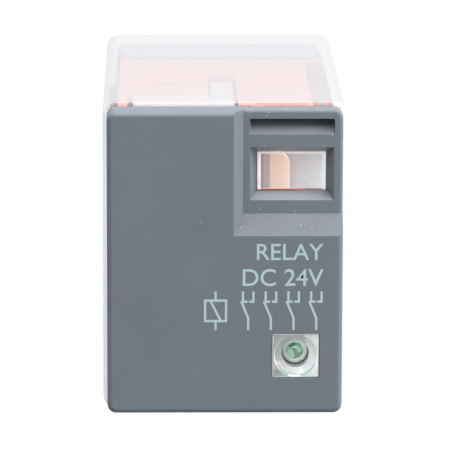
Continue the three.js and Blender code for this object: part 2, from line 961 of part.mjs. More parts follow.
// ---------------------------------------------------------------- LED circuit
{
  piece(
    indicator,
    "led",
    turned(
      "y",
      [
        [0, -39.05],
        [0.5, -38.92],
        [0.87, -38.55],
        [1.0, -38.05],
        [1.0, -35.35],
        [1.2, -35.35],
        [1.2, -34.95],
        [0, -34.95],
      ],
      LED_X,
      LED_Z,
      16,
    ),
    LED_GREEN,
  );
  const lead = toGeometry(
    wire(
      [
        [LED_X, -34.93, 0],
        [LED_X, -34.5, 0],
        [LED_X + 0.5, -33.9, 0],
        [7.55, -33.0, 0],
        [7.98, -32.2, 0],
        [7.98, -30.8, 0],
      ],
      0.18,
      12,
      4,
    ),
  );
  piece(indicator, "led_anode_lead", lead, TIN, 0, 0, LED_Z + 0.6);
  piece(indicator, "led_cathode_lead", lead, TIN, 0, 0, LED_Z - 0.6);
  piece(indicator, "led_board", box(8.2, 9.0, -33.4, -5.1, -11.6, -5.0), PCB);
  piece(indicator, "led_resistor", box(7.6, 8.2, -21.6, -18.4, -9.1, -7.5), CERAMIC);
  piece(
    indicator,
    "led_diode",
    cylinder("y", 0.42, 7.78, COIL_Z - 4.4, -15.6, -12.4, 10),
    GLASS_RED,
  );
  piece(
    indicator,
    "led_jumper_wire",
    wire(
      [
        [7.95, -6.4, -10.0],
        [7.5, -6.0, -10.9],
        [5.5, -5.8, -11.2],
        [0, -5.8, -11.35],
        [-5.0, -5.8, -11.0],
        [-6.4, -5.9, -10.3],
        [-6.6, -6.3, -8.5],
      ],
      0.3,
      22,
      6,
    ),
    SLEEVE,
  );
}

export default root;
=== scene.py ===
import math

import bmesh
import bpy
import numpy as np
from mathutils import Matrix, Vector


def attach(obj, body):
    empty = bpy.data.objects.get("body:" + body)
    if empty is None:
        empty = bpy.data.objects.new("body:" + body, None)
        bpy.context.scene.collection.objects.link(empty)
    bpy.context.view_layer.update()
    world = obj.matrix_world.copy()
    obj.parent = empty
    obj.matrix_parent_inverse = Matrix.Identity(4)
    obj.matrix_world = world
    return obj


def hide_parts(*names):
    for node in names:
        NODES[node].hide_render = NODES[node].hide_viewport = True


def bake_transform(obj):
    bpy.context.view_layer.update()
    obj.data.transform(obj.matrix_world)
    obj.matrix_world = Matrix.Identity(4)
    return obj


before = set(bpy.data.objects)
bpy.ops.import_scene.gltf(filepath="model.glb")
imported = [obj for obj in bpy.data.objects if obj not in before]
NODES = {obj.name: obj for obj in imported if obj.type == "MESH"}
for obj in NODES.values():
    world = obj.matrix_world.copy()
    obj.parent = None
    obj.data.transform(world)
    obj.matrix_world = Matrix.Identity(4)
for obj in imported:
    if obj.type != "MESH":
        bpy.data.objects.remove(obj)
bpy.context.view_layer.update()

MM = 0.001
SC = bpy.context.scene

# --------------------------------------------------------------------- camera
CAM_POS = Vector((-5.951, -384.133, 75.731)) * MM
YAW, PITCH, ROLL, FOCAL = math.radians(0.99), math.radians(11.863), math.radians(0.138), 4114.25
fwd = Vector((math.sin(YAW) * math.cos(PITCH), math.cos(YAW) * math.cos(PITCH), -math.sin(PITCH)))
right = Vector((math.cos(YAW), -math.sin(YAW), 0.0))
up = right.cross(fwd)
right, up = right * math.cos(ROLL) + up * math.sin(ROLL), up * math.cos(ROLL) - right * math.sin(ROLL)
cam_data = bpy.data.cameras.new("camera")
cam_data.sensor_width = 36.0
cam_data.lens = FOCAL / 450.0 * 36.0
cam_data.clip_start = 0.01
cam_data.clip_end = 50.0
cam = bpy.data.objects.new("camera", cam_data)
SC.collection.objects.link(cam)
cam.matrix_world = Matrix.Translation(CAM_POS) @ Matrix((right, up, -fwd)).transposed().to_4x4()
SC.camera = cam
SC.view_settings.view_transform = "Standard"
SC.view_settings.look = "None"
SC.cycles.max_bounces = 24
SC.cycles.transmission_bounces = 20
SC.cycles.transparent_max_bounces = 16
SC.cycles.glossy_bounces = 8
SC.cycles.diffuse_bounces = 6
SC.cycles.sample_clamp_indirect = 6.0

# -------------------------------------------------------------- light, floor
world = bpy.data.worlds.new("studio")
world.use_nodes = True
_nt = world.node_tree
_bg = _nt.nodes["Background"]
_bg.inputs["Color"].default_value = (1.0, 1.0, 1.0, 1.0)
SC.world = world


def _w(kind, **inputs):
    n = _nt.nodes.new(kind)
    for key, v in inputs.items():
        if key in n.inputs:
            n.inputs[key].default_value = v
        else:
            setattr(n, key, v)
    return n


def _gradient(source, a, b):
    n = _nt.nodes.new("ShaderNodeMapRange")
    for key, v in (("From Min", -1.0), ("From Max", 1.0), ("To Min", a), ("To Max", b)):
        n.inputs[key].default_value = v
    _nt.links.new(source, n.inputs["Value"])
    return n.outputs["Result"]


# a white room: bright behind and on the right, weaker on the left and in front
LEFT, RIGHT, FRONT, BACK, BELOW, ABOVE = 0.95, 1.5, 0.36, 0.78, 0.85, 1.1
_tc = _nt.nodes.new("ShaderNodeTexCoord")
_sep = _nt.nodes.new("ShaderNodeSeparateXYZ")
_nt.links.new(_tc.outputs["Generated"], _sep.inputs[0])
_mul = _w("ShaderNodeMath", operation="MULTIPLY")
_nt.links.new(_gradient(_sep.outputs["X"], LEFT, RIGHT), _mul.inputs[0])
_nt.links.new(_gradient(_sep.outputs["Y"], FRONT, BACK), _mul.inputs[1])
_mul2 = _w("ShaderNodeMath", operation="MULTIPLY")
_nt.links.new(_mul.outputs[0], _mul2.inputs[0])
_nt.links.new(_gradient(_sep.outputs["Z"], BELOW, ABOVE), _mul2.inputs[1])
_nt.links.new(_mul2.outputs[0], _bg.inputs["Strength"])
_white = _w("ShaderNodeBackground")
_white.inputs["Color"].default_value = (1, 1, 1, 1)
_white.inputs["Strength"].default_value = 1.0
_lp = _nt.nodes.new("ShaderNodeLightPath")
_mix = _nt.nodes.new("ShaderNodeMixShader")
_nt.links.new(_lp.outputs["Is Camera Ray"], _mix.inputs[0])
_nt.links.new(_bg.outputs[0], _mix.inputs[1])
_nt.links.new(_white.outputs[0], _mix.inputs[2])
_nt.links.new(_mix.outputs[0], _nt.nodes["World Output"].inputs["Surface"])


def area(name, loc, target, size, power, color=(1, 1, 1), size_y=None):
    d = bpy.data.lights.new(name, "AREA")
    d.energy = power
    d.color = color
    d.size = size
    if size_y:
        d.shape = "RECTANGLE"
        d.size_y = size_y
    o = bpy.data.objects.new(name, d)
    SC.collection.objects.link(o)
    o.location = loc
    o.rotation_euler = (Vector(target) - Vector(loc)).to_track_quat("-Z", "Y").to_euler()
    return o


area("top_softbox", (0.03, -0.15, 0.62), (0, -0.03, 0), 0.95, 12.0)
area("right_softbox", (0.55, -0.19, 0.16), (0, -0.03, 0), 0.34, 3.9)


def srgb(r, g, b, a=1.0):
    def lin(c):
        c = c / 255.0
        return c / 12.92 if c <= 0.04045 else ((c + 0.055) / 1.055) ** 2.4

    return (lin(r), lin(g), lin(b), a)


# ------------------------------------------------------------------ materials
def material(name, color, rough=0.5, metal=0.0, **sockets):
    m = bpy.data.materials.new(name)
    m.use_nodes = True
    p = m.node_tree.nodes["Principled BSDF"]
    p.inputs["Base Color"].default_value = color
    p.inputs["Roughness"].default_value = rough
    p.inputs["Metallic"].default_value = metal
    for key, value in sockets.items():
        p.inputs[key.replace("_", " ")].default_value = value
    m.diffuse_color = color
    return m


def node(m, kind, **props):
    n = m.node_tree.nodes.new(kind)
    for key, value in props.items():
        if key in n.inputs:
            n.inputs[key].default_value = value
        else:
            setattr(n, key, value)
    return n


def link(m, a, b):
    m.node_tree.links.new(a, b)


def coords(m, scale=(1, 1, 1), rotation=(0, 0, 0)):
    tc = node(m, "ShaderNodeTexCoord")
    mp = node(m, "ShaderNodeMapping")
    mp.inputs["Scale"].default_value = scale
    mp.inputs["Rotation"].default_value = rotation
    link(m, tc.outputs["Object"], mp.inputs["Vector"])
    return mp.outputs["Vector"]


def noise(m, vec, scale, detail=3.0, rough=0.5):
    n = node(m, "ShaderNodeTexNoise")
    n.inputs["Scale"].default_value = scale
    n.inputs["Detail"].default_value = detail
    n.inputs["Roughness"].default_value = rough
    link(m, vec, n.inputs["Vector"])
    return n.outputs["Fac"]


def remap(m, fac, a, b, c, d):
    n = node(m, "ShaderNodeMapRange")
    for key, v in (("From Min", a), ("From Max", b), ("To Min", c), ("To Max", d)):
        n.inputs[key].default_value = v
    link(m, fac, n.inputs["Value"])
    return n.outputs["Result"]


def ramp(m, fac, stops):
    n = node(m, "ShaderNodeValToRGB")
    e = n.color_ramp.elements
    e[0].position, e[0].color = stops[0]
    e[1].position, e[1].color = stops[-1]
    for pos, col in stops[1:-1]:
        e.new(pos).color = col
    link(m, fac, n.inputs["Fac"])
    return n.outputs["Color"]


def mixrgb(m, fac, a, b, mode="MIX"):
    n = node(m, "ShaderNodeMix", data_type="RGBA", blend_type=mode)
    for sock, v in ((n.inputs[0], fac), (n.inputs[6], a), (n.inputs[7], b)):
        if hasattr(v, "is_output"):
            link(m, v, sock)
        else:
            sock.default_value = v
    return n.outputs[2]


def bump(m, height, strength, distance):
    n = node(m, "ShaderNodeBump")
    n.inputs["Strength"].default_value = strength
    n.inputs["Distance"].default_value = distance
    link(m, height, n.inputs["Height"])
    link(m, n.outputs["Normal"], m.node_tree.nodes["Principled BSDF"].inputs["Normal"])
    return n


def bsdf(m):
    return m.node_tree.nodes["Principled BSDF"]


def moulded(name, color, rough=0.45, grain=9000.0, depth=0.012, vary=0.04, painted_sparkle=0.0, sparkle_color=None, **kw):
    """Injection-moulded plastic: a spark-eroded grain, faint flow mottling, uneven roughness and, where asked, painted
    sparkle: pale specks in patches that stand for glints off the grain.
    """
    m = material(name, color, rough, **kw)
    v = coords(m)
    mottle = noise(m, v, 140.0, 4.0, 0.6)
    dark = tuple(c * (1 - vary) for c in color[:3]) + (1,)
    light = tuple(min(1, c * (1 + vary)) for c in color[:3]) + (1,)
    col = ramp(m, mottle, [(0.3, dark), (0.7, light)])
    fine = noise(m, v, grain, 2.0, 0.55)
    # painted sparkle: pale specks in patches for glints off the grain
    if painted_sparkle:
        sparkle_noise = noise(m, v, 2600.0, 2.0, 0.7)
        patch = noise(m, v, 95.0, 2.0, 0.5)
        mask = ramp(m, sparkle_noise, [(0.735 - painted_sparkle * 0.02, (0, 0, 0, 1)), (0.775, (1, 1, 1, 1))])
        where = ramp(m, patch, [(0.42, (0.1, 0.1, 0.1, 1)), (0.62, (1, 1, 1, 1))])
        both = mixrgb(m, 1.0, mask, where, "MULTIPLY")
        sep = node(m, "ShaderNodeSeparateColor")
        link(m, both, sep.inputs[0])
        col = mixrgb(m, sep.outputs[0], col, sparkle_color or srgb(205, 210, 214))
    link(m, col, bsdf(m).inputs["Base Color"])
    link(m, remap(m, noise(m, v, 420.0, 3.0, 0.6), 0.3, 0.7, rough - 0.05, rough + 0.06), bsdf(m).inputs["Roughness"])
    bump(m, fine, 0.6, depth * MM)
    return m


def metal(name, color, rough=0.3, stretch=(1, 1, 1), grain=900.0, depth=0.004, vary=0.08, tint=None):
    """Rolled or plated metal: stretched scratches, tarnish clouds and uneven polish."""
    m = material(name, color, rough, 1.0)
    v = coords(m, stretch)
    w = coords(m)
    lines = noise(m, v, grain, 4.0, 0.65)
    cloud = noise(m, w, 260.0, 4.0, 0.6)
    dark = tuple(c * (1 - vary) for c in (tint or color)[:3]) + (1,)
    light = tuple(min(1, c * (1 + vary)) for c in color[:3]) + (1,)
    link(m, ramp(m, cloud, [(0.3, dark), (0.7, light)]), bsdf(m).inputs["Base Color"])
    link(m, remap(m, lines, 0.25, 0.75, rough - 0.09, rough + 0.12), bsdf(m).inputs["Roughness"])
    bump(m, lines, 0.5, depth * MM)
    return m


def clear(name, color, rough=0.02, ior=1.58, wave=0.004, tint=1.0):
    """Clear moulded plastic with faint flow marks."""
    m = material(name, color, rough, 0.0)
    bsdf(m).inputs["Transmission Weight"].default_value = tint
    bsdf(m).inputs["IOR"].default_value = ior
    v = coords(m)
    link(m, remap(m, noise(m, v, 300.0, 3.0, 0.6), 0.35, 0.75, rough, rough + 0.05), bsdf(m).inputs["Roughness"])
    bump(m, noise(m, v, 110.0, 2.0, 0.4), 0.25, wave * MM)
    return m


GREY = moulded("grey_moulding", srgb(102, 109, 116), rough=0.5, grain=7200.0, depth=0.024, vary=0.03, painted_sparkle=1.0, Specular_IOR_Level=0.22)
GREY_SMOOTH_PAINTED_LIGHT = moulded("grey_smooth_painted_light", srgb(120, 126, 133), rough=0.38, grain=7200.0, depth=0.006, vary=0.03)
GREY_COARSE = moulded("grey_coarse_texture", srgb(94, 100, 106), rough=0.55, grain=5600.0, depth=0.075, vary=0.06, painted_sparkle=1.0)
def shell(name, tint, painted_glow=0.0, f0=0.09, power=3.0, rough=0.03, haze=0.08, haze_to=0.12, veil=(0.9, 0.92, 0.95, 1), flow=110.0, gloss_color=(1, 1, 1, 1), along=None):
    """A clear moulded wall: see-through, glossy towards grazing angles on its outer faces, with a faint uneven haze;
    painted_glow paints a glow on it, and the haze can grow along X as painted light.
    """
    m = material(name, veil, 0.5)
    p = bsdf(m)
    out = m.node_tree.nodes["Material Output"]
    v = coords(m)
    cloud = noise(m, v, 240.0, 4.0, 0.6)
    link(m, ramp(m, cloud, [(0.3, tuple(c * 0.96 for c in veil[:3]) + (1,)), (0.7, veil)]), p.inputs["Base Color"])
    if painted_glow:  # painted glow: the wall emits its veil colour, standing for light gathered inside the clear plastic that leaves at its edges
        p.inputs["Emission Color"].default_value = veil
        p.inputs["Emission Strength"].default_value = painted_glow
    through = node(m, "ShaderNodeBsdfTransparent")
    through.inputs["Color"].default_value = tint
    gloss = node(m, "ShaderNodeBsdfGlossy")
    gloss.inputs["Color"].default_value = gloss_color
    link(m, remap(m, noise(m, v, 320.0, 3.0, 0.6), 0.35, 0.75, rough, rough + 0.06), gloss.inputs["Roughness"])
    b = node(m, "ShaderNodeBump")
    b.inputs["Strength"].default_value = 0.25
    b.inputs["Distance"].default_value = 0.004 * MM
    link(m, noise(m, v, flow, 2.0, 0.4), b.inputs["Height"])
    link(m, b.outputs["Normal"], gloss.inputs["Normal"])
    lw = node(m, "ShaderNodeLayerWeight")
    lw.inputs["Blend"].default_value = 0.5
    pw = node(m, "ShaderNodeMath", operation="POWER")
    pw.inputs[1].default_value = power
    link(m, lw.outputs["Facing"], pw.inputs[0])
    fres = remap(m, pw.outputs[0], 0.0, 1.0, f0, 1.0)
    geo = node(m, "ShaderNodeNewGeometry")
    front = remap(m, geo.outputs["Backfacing"], 0.0, 1.0, 1.0, 0.0)
    fac = node(m, "ShaderNodeMath", operation="MULTIPLY")
    link(m, fres, fac.inputs[0])
    link(m, front, fac.inputs[1])
    hz = node(m, "ShaderNodeMath", operation="MULTIPLY")
    link(m, remap(m, noise(m, v, 420.0, 3.0, 0.6), 0.3, 0.7, haze, haze_to), hz.inputs[0])
    link(m, front, hz.inputs[1])
    hz_out = hz.outputs[0]
    if along:  # (x0, x1, a, b): painted light: the haze, with any glow, is a times as strong at x0 and b times at x1 (mm)
        sx = node(m, "ShaderNodeSeparateXYZ")
        link(m, v, sx.inputs[0])
        more = node(m, "ShaderNodeMath", operation="MULTIPLY")
        link(m, hz_out, more.inputs[0])
        link(m, remap(m, sx.outputs["X"], along[0] * MM, along[1] * MM, along[2], along[3]), more.inputs[1])
        hz_out = more.outputs[0]
    a_ = node(m, "ShaderNodeMixShader")
    link(m, hz_out, a_.inputs[0])
    link(m, through.outputs[0], a_.inputs[1])
    link(m, p.outputs[0], a_.inputs[2])
    b_ = node(m, "ShaderNodeMixShader")
    link(m, fac.outputs[0], b_.inputs[0])
    link(m, a_.outputs[0], b_.inputs[1])
    link(m, gloss.outputs[0], b_.inputs[2])
    link(m, b_.outputs[0], out.inputs["Surface"])
    return m


CLEAR = shell("clear_polycarbonate", (0.9, 0.9, 0.91, 1), f0=0.05, power=1.15, haze=0.02, haze_to=0.05, gloss_color=(0.93, 0.93, 0.955, 1))
# painted light: the window pad glows and gets lighter towards the right
PAD_PAINTED_GLOW = shell("window_pad_painted_glow", (0.95, 0.955, 0.965, 1), painted_glow=0.36, f0=0.08, haze=0.17, haze_to=0.21, rough=0.1, along=(5.0, 8.8, 0.85, 4.0))
RIM = shell("cover_edge", (0.84, 0.85, 0.88, 1), f0=0.08, power=1.7, haze=0.26, haze_to=0.36, rough=0.1, veil=(0.78, 0.79, 0.85, 1))
# painted highlight: edges that glow white
PAD_EDGE_PAINTED_GLOW = shell("pad_edge_painted_glow", (0.9, 0.9, 0.92, 1), painted_glow=0.6, f0=0.1, haze=0.55, haze_to=0.75, rough=0.15, veil=(0.9, 0.9, 0.92, 1))
ROUNDING = shell("cover_rounding", (0.8, 0.785, 0.79, 1), f0=0.02, power=3.0, haze=0.2, haze_to=0.28, rough=0.5, veil=(0.5, 0.45, 0.47, 1), gloss_color=(0.95, 0.96, 1.0, 1))
# painted glow: the LED's rim and ring glow, lighter towards the right
LED_RIM_PAINTED_GLOW = shell("led_rim_painted_glow", (0.8, 0.84, 0.83, 1), painted_glow=0.72, f0=0.06, power=3.0, haze=0.6, haze_to=0.85, rough=0.2, veil=(0.8, 0.84, 0.83, 1), along=(5.3, 6.9, 0.72, 1.15))
# painted light: the lens glows and gets lighter towards the right
LENS_PAINTED_GLOW = shell("lens_acrylic_painted_glow", (0.92, 0.95, 0.94, 1), painted_glow=0.85, f0=0.03, power=3.0, rough=0.3, haze=0.2, haze_to=0.36, veil=(0.52, 0.54, 0.55, 1), along=(4.6, 7.9, 0.85, 2.7))
GLINT = shell("lens_glint", (0.8, 0.95, 0.86, 1), painted_glow=0.5, f0=0.03, power=3.0, rough=0.3, haze=0.4, haze_to=0.7, veil=(0.24, 0.5, 0.33, 1))
# painted reflection: the pad's underside glows orange for the shelf below, fading towards the right
PAD_FOOT_PAINTED_REFLECTION = shell("pad_foot_painted_reflection", (0.95, 0.8, 0.74, 1), painted_glow=0.3, f0=0.05, haze=0.8, haze_to=0.95, rough=0.2, veil=(0.9, 0.42, 0.26, 1), along=(5.2, 6.9, 1.0, 0.15))
TOP = shell("cover_top", (0.9, 0.9, 0.91, 1), f0=0.05, power=1.15, haze=0.06, haze_to=0.11, veil=(0.84, 0.85, 0.87, 1), gloss_color=(0.93, 0.93, 0.955, 1))
STRIP = shell("cover_strip", (0.9, 0.905, 0.92, 1), f0=0.05, power=1.15, haze=0.09, haze_to=0.15, veil=(0.86, 0.86, 0.9, 1), gloss_color=(0.93, 0.93, 0.955, 1))
# painted shade: the white base is coloured light grey for the shade it lies in under the cover
BASE_PAINTED_SHADE = moulded("base_moulding_painted_shade", srgb(164, 166, 169), rough=0.45, grain=6000.0, depth=0.01, vary=0.02)
NYLON = moulded("natural_nylon", srgb(194, 188, 191), rough=0.4, grain=5200.0, depth=0.008, vary=0.02)
SALMON = moulded("salmon_moulding", srgb(222, 146, 122), rough=0.42, grain=5200.0, depth=0.008, vary=0.05)
FLAG_PAINTED_GLOW = moulded("flag_moulding_painted_glow", srgb(250, 210, 182), rough=0.4, grain=5200.0, depth=0.006, vary=0.04)
_v = coords(FLAG_PAINTED_GLOW)
_sx = node(FLAG_PAINTED_GLOW, "ShaderNodeSeparateXYZ")
link(FLAG_PAINTED_GLOW, _v, _sx.inputs[0])
_painted_light_fx = remap(FLAG_PAINTED_GLOW, _sx.outputs["X"], 4.0 * MM, 5.4 * MM, 0.0, 1.0)  # painted light: the flag glows, and the glow is paler towards its thinner free edge
link(FLAG_PAINTED_GLOW, ramp(FLAG_PAINTED_GLOW, _painted_light_fx, [(0.0, srgb(255, 205, 172)), (1.0, srgb(255, 228, 206))]), bsdf(FLAG_PAINTED_GLOW).inputs["Emission Color"])
bsdf(FLAG_PAINTED_GLOW).inputs["Emission Strength"].default_value = 0.54
IRON = metal("plated_iron", srgb(196, 197, 198), 0.34, (1, 0.12, 1), 1400.0)
WIRE = metal("spring_wire", srgb(200, 202, 206), 0.24, grain=2400.0)
TIN = metal("tinned_brass", srgb(208, 206, 198), 0.3, (1, 0.1, 1), 1800.0, tint=srgb(188, 180, 160))
BRONZE = metal("spring_bronze", srgb(214, 160, 96), 0.26, (1, 0.1, 1), 1800.0, tint=srgb(196, 132, 78))
SILVER = metal("silver_alloy", srgb(228, 228, 226), 0.28, grain=3200.0, tint=srgb(190, 186, 178))
COPPER = metal("enamelled_copper", srgb(196, 104, 54), 0.25, grain=2400.0, tint=srgb(160, 72, 34))
PCB = moulded("solder_mask", srgb(38, 104, 66), rough=0.3, grain=2600.0, depth=0.004, vary=0.1)
CHIP = moulded("coated_chip", srgb(34, 34, 36), rough=0.35, grain=5200.0, depth=0.006, vary=0.1)
SLEEVE = moulded("pvc_sleeve", srgb(58, 62, 68), rough=0.35, grain=2600.0, depth=0.006, vary=0.06)
INK = moulded("pale_ink", srgb(162, 182, 188), rough=0.5, grain=6000.0, depth=0.004, vary=0.04)

TAPE = moulded("polyester_tape", srgb(236, 206, 110), rough=0.16, grain=900.0, depth=0.01, vary=0.08)
bsdf(TAPE).inputs["Coat Weight"].default_value = 0.5
bsdf(TAPE).inputs["Coat Roughness"].default_value = 0.08

LED_EPOXY = shell("led_epoxy", (0.95, 0.98, 0.965, 1), f0=0.1, power=2.2, haze=0.12, haze_to=0.22, rough=0.05, veil=(0.86, 0.9, 0.89, 1))
LED_CHIP = moulded("led_green_die", srgb(150, 215, 176), rough=0.25, grain=5200.0, depth=0.01, vary=0.12)
LED_WELL = moulded("led_green_well", srgb(60, 112, 98), rough=0.3, grain=5200.0, depth=0.01, vary=0.1)
# painted glow: the die and its well glow faintly green
for m_, e_ in ((LED_CHIP, 0.4), (LED_WELL, 0.12)):
    bsdf(m_).inputs["Emission Color"].default_value = srgb(120, 200, 160)
    bsdf(m_).inputs["Emission Strength"].default_value = e_
# painted shade: the clear bore wall is tinted dark and lets little light through
BORE_PAINTED_SHADE = shell("lens_bore_painted_shade", (0.36, 0.38, 0.38, 1), f0=0.1, power=2.0, haze=0.03, haze_to=0.08, rough=0.08, veil=(0.4, 0.42, 0.42, 1))
DIODE = clear("diode_glass", srgb(214, 96, 50), 0.03, 1.5, 0.002, 0.6)

BRAID = material("copper_braid", srgb(196, 122, 84), 0.34, 1.0)
# bands for the strands; their dark is partly painted shade between the strands
_v = coords(BRAID)
_w1 = node(BRAID, "ShaderNodeTexWave", wave_type="BANDS", bands_direction="DIAGONAL")
_w1.inputs["Scale"].default_value = 1500.0
_w1.inputs["Distortion"].default_value = 1.5
link(BRAID, _v, _w1.inputs["Vector"])
link(BRAID, ramp(BRAID, _w1.outputs["Fac"], [(0.15, srgb(122, 62, 38)), (0.6, srgb(214, 140, 98))]), bsdf(BRAID).inputs["Base Color"])
bump(BRAID, _w1.outputs["Fac"], 0.9, 0.05 * MM)

WINDING = material("wound_copper", srgb(188, 92, 44), 0.25, 0.85)
# bands for the turns of wire; the dark of each band is painted shade in the groove between turns
_v = coords(WINDING)
_w2 = node(WINDING, "ShaderNodeTexWave", wave_type="BANDS", bands_direction="Y")
_w2.inputs["Scale"].default_value = 1300.0
_w2.inputs["Distortion"].default_value = 0.4
link(WINDING, _v, _w2.inputs["Vector"])
link(WINDING, ramp(WINDING, _w2.outputs["Fac"], [(0.1, srgb(112, 44, 20)), (0.6, srgb(214, 116, 62))]), bsdf(WINDING).inputs["Base Color"])
bump(WINDING, _w2.outputs["Fac"], 0.8, 0.03 * MM)


# ------------------------------------------------------------------ mesh tools
def new_object(name, verts, faces, smooth=True, scale=MM):
    me = bpy.data.meshes.new(name)
    me.from_pydata([tuple(c * scale for c in v) for v in verts], [], faces)
    bm = bmesh.new()
    bm.from_mesh(me)
    bmesh.ops.remove_doubles(bm, verts=bm.verts, dist=1e-8)
    bmesh.ops.recalc_face_normals(bm, faces=bm.faces)
    bm.to_mesh(me)
    bm.free()
    if smooth:
        me.polygons.foreach_set("use_smooth", [True] * len(me.polygons))
    me.update()
    o = bpy.data.objects.new(name, me)
    SC.collection.objects.link(o)
    return o


def rrect(w, h, r, cx=0.0, cz=0.0, seg=6):
    pts = []
    r = max(r, 1e-4)
    for sx, sz, a0 in ((1, -1, -90), (1, 1, 0), (-1, 1, 90), (-1, -1, 180)):
        ox, oz = cx + sx * (w / 2 - r), cz + sz * (h / 2 - r)
        for i in range(seg + 1):
            a = math.radians(a0 + 90 * i / seg)
            pts.append((ox + r * math.cos(a), oz + r * math.sin(a)))
    return pts


def loft(name, rings, closed=False, smooth=True):
    """Rings of equal length; the first and the last are capped unless the rings close on themselves."""
    n = len(rings[0])
    verts = [p for ring in rings for p in ring]
    faces = []
    m = len(rings)
    for k in range(m if closed else m - 1):
        a, b = k * n, ((k + 1) % m) * n
        for i in range(n):
            j = (i + 1) % n
            faces.append((a + i, a + j, b + j, b + i))
    if not closed:
        faces.append(tuple(range(n))[::-1])
        faces.append(tuple(range((m - 1) * n, m * n)))
    return new_object(name, verts, faces, smooth)


def block(name, w, h, r, y0, y1, edge, cx=0.0, cz=0.0, seg=6, steps=5, back_edge=0.0):
    """A rounded block along Y; the front edge (y0) is rounded by edge, and the back edge by back_edge."""
    rings = []
    for k in range(steps + 1):
        t = math.pi / 2 * (1 - k / steps)
        d = edge * (1 - math.cos(t))
        rings.append([(x, y0 + edge - edge * math.sin(t), z) for x, z in rrect(w - 2 * d, h - 2 * d, r - d if r > d else 0.02, cx, cz, seg)])
    if back_edge > 0:
        for k in range(steps + 1):
            t = math.pi / 2 * k / steps
            d = back_edge * (1 - math.cos(t))
            rings.append([(x, y1 - back_edge + back_edge * math.sin(t), z) for x, z in rrect(w - 2 * d, h - 2 * d, r - d if r > d else 0.02, cx, cz, seg)])
    else:
        rings.append([(x, y1, z) for x, z in rrect(w, h, r, cx, cz, seg)])
    return loft(name, rings)


def hexa(name, front, back, y0, y1):
    """front and back are (x0, x1, z0, z1) at y0 and y1."""
    v = []
    for (x0, x1, z0, z1), y in ((front, y0), (back, y1)):
        v += [(x0, y, z0), (x1, y, z0), (x1, y, z1), (x0, y, z1)]
    f = [(0, 1, 2, 3), (7, 6, 5, 4), (0, 4, 5, 1), (1, 5, 6, 2), (2, 6, 7, 3), (3, 7, 4, 0)]
    return new_object(name, v, f, smooth=False)


def lathe(name, profile, axis, a, b, segments=48, closed=False, at=0.0):
    """profile: (radius, height) along axis; a, b the two other coordinates (x, z for y; x, y for z)."""
    verts, faces, rings = [], [], []
    for r, h in profile:
        if r < 1e-6:
            rings.append([len(verts)])
            verts.append((0.0, 0.0, h))
        else:
            ring = []
            for i in range(segments):
                t = 2 * math.pi * i / segments
                ring.append(len(verts))
                verts.append((r * math.cos(t), r * math.sin(t), h))
            rings.append(ring)
    m = len(rings)
    for k in range(m if closed else m - 1):
        p, q = rings[k], rings[(k + 1) % m]
        for i in range(segments):
            j = (i + 1) % segments
            if len(p) == 1 and len(q) == 1:
                continue
            if len(p) == 1:
                faces.append((p[0], q[j], q[i]))
            elif len(q) == 1:
                faces.append((p[i], p[j], q[0]))
            else:
                faces.append((p[i], p[j], q[j], q[i]))
    out = []
    for x, y, h in verts:
        if axis == "y":
            out.append((a + x, h + at, b + y))
        elif axis == "z":
            out.append((a + x, b + y, h + at))
        else:
            out.append((h + at, a + x, b + y))
    return new_object(name, out, faces)


def tube(name, points, radius, sides=12, samples=None, flat=1.0):
    """A closed tube on a smooth curve through points (mm)."""
    p = np.array(points, float)
    if samples:
        d = np.r_[0, np.cumsum(np.linalg.norm(np.diff(p, axis=0), axis=1) ** 0.5)]
        t = np.linspace(0, d[-1], samples)
        ext = np.vstack([2 * p[0] - p[1], p, 2 * p[-1] - p[-2]])
        de = np.r_[-(d[1] - d[0]), d, d[-1] + (d[-1] - d[-2])]
        out = []
        for s in t:
            i = min(max(np.searchsorted(d, s, "right") - 1, 0), len(d) - 2)
            t0, t1, t2, t3 = de[i : i + 4]
            p0, p1, p2, p3 = ext[i : i + 4]
            a1 = (t1 - s) / (t1 - t0) * p0 + (s - t0) / (t1 - t0) * p1
            a2 = (t2 - s) / (t2 - t1) * p1 + (s - t1) / (t2 - t1) * p2
            a3 = (t3 - s) / (t3 - t2) * p2 + (s - t2) / (t3 - t2) * p3
            b1 = (t2 - s) / (t2 - t0) * a1 + (s - t0) / (t2 - t0) * a2
            b2 = (t3 - s) / (t3 - t1) * a2 + (s - t1) / (t3 - t1) * a3
            out.append((t2 - s) / (t2 - t1) * b1 + (s - t1) / (t2 - t1) * b2)
        p = np.array(out)
    tang = np.gradient(p, axis=0)
    tang /= np.linalg.norm(tang, axis=1)[:, None]
    ref = np.array([0.0, 0.0, 1.0]) if abs(tang[0][2]) < 0.9 else np.array([1.0, 0.0, 0.0])
    nrm = np.cross(tang[0], ref)
    nrm /= np.linalg.norm(nrm)
    rings = []
    for i in range(len(p)):
        nrm = nrm - tang[i] * (nrm @ tang[i])
        nrm /= np.linalg.norm(nrm)
        bin_ = np.cross(tang[i], nrm)
        rings.append([tuple(p[i] + radius * (nrm * math.cos(2 * math.pi * k / sides) + bin_ * flat * math.sin(2 * math.pi * k / sides))) for k in range(sides)])
    return loft(name, rings)


def applied(o):
    bpy.context.view_layer.update()
    deps = bpy.context.evaluated_depsgraph_get()
    me = bpy.data.meshes.new_from_object(o.evaluated_get(deps))
    o.modifiers.clear()
    old = o.data
    o.data = me
    bpy.data.meshes.remove(old)
    return o


def boolean(o, tool, op="DIFFERENCE"):
    mod = o.modifiers.new("b", "BOOLEAN")
    mod.operation = op
    mod.solver = "EXACT"
    mod.object = tool
    applied(o)
    bpy.data.objects.remove(tool)
    return o


